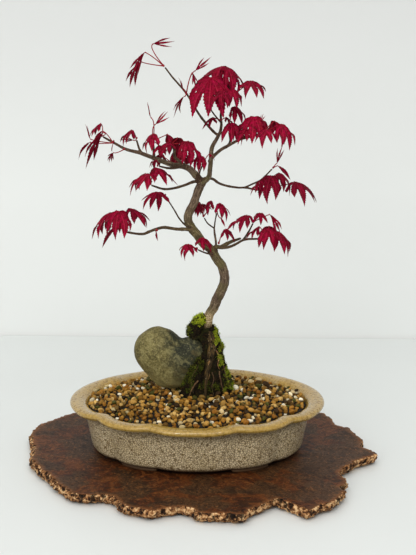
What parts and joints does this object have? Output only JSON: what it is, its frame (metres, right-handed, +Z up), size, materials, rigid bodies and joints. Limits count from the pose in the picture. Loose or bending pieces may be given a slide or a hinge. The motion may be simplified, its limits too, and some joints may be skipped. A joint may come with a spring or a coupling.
{
  "type": "bonsai tree in a pot",
  "caption": "Red-leaved maple bonsai grown beside a stone, in an oval lobed glazed pot filled with gravel, on a slice of burl wood with a live edge.",
  "frame": {"origin": "on the flat underside of the burl slice, straight below the middle of the pot", "axes": "+Z up, +X to the viewer's right along the pot's length, +Y away from the viewer"},
  "size_m": [0.3555, 0.3091, 0.4196],
  "materials": {
    "burl": "satin",
    "glaze": "crackled gloss",
    "screen": "matte",
    "gravel": "rough",
    "peat": "crumbly",
    "moss": "soft",
    "stone": "rough",
    "bark": "rough",
    "leaf": "satin"
  },
  "bodies": {
    "root": {"display_slab": "burl", "pot": "glaze", "drain_screen_left": "screen", "drain_screen_right": "screen", "gravel_soil": "gravel", "root_mound": "peat", "rock": "stone", "tree": "bark", "spray_apex": "leaf", "spray_whip": "leaf", "spray_crown": "leaf", "spray_crown_low": "leaf", "spray_right_rise": "leaf", "spray_right_fork": "leaf", "spray_right_tip": "leaf", "spray_left_tip": "leaf", "spray_left_node": "leaf", "spray_left_low": "leaf", "spray_left_fork": "leaf", "spray_left_upright": "leaf", "spray_left_rise": "leaf", "spray_left_stub": "leaf", "spray_left_back": "leaf", "spray_inner": "leaf", "spray_left_middle": "leaf", "spray_left_thin": "leaf", "spray_left_low_tip": "leaf", "spray_left_low_node": "leaf", "spray_trunk_left": "leaf", "spray_trunk_front": "leaf", "spray_centre_left": "leaf", "spray_centre_right": "leaf", "spray_knob": "leaf", "spray_right_low_rise": "leaf", "spray_right_low_tip": "leaf", "spray_right_middle": "leaf", "spray_right_middle_rise": "leaf"}
  },
  "joints": []
}
